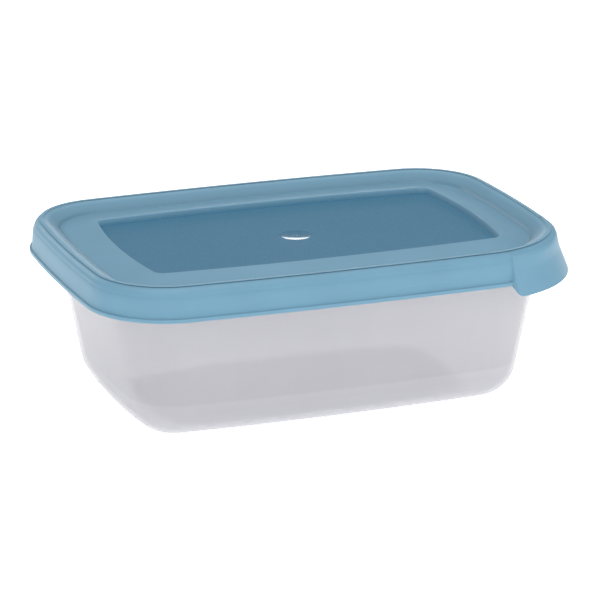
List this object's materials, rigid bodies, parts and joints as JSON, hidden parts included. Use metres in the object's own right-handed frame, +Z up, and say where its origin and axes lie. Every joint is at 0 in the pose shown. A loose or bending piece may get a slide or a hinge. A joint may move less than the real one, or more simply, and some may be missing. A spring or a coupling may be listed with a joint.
{
  "type": "snap lid food container",
  "caption": "Rectangular food storage box: a frosted clear plastic tub under a blue snap lid with a sunken panel and a corner pull tab.",
  "frame": {"origin": "centre of the tub's flat base, on the table, on the tub's two mirror planes", "axes": "+X along the long side towards the end with the pull tab, +Y away from the long side that carries the tab, +Z up"},
  "size_m": [0.2028, 0.1373, 0.0677],
  "materials": {
    "tub_plastic": "translucent frosted polypropylene, natural, satin outside",
    "lid_plastic": "blue-grey polypropylene, satin, with a finely textured sunken panel"
  },
  "bodies": {
    "tub": {"tub": "tub_plastic"},
    "lid": {"lid": "lid_plastic"}
  },
  "joints": [
    {"name": "lid_lift", "type": "slide", "parent": "tub", "child": "lid", "axis": [0, 0, 1], "range_m": [0, 0.08]}
  ]
}
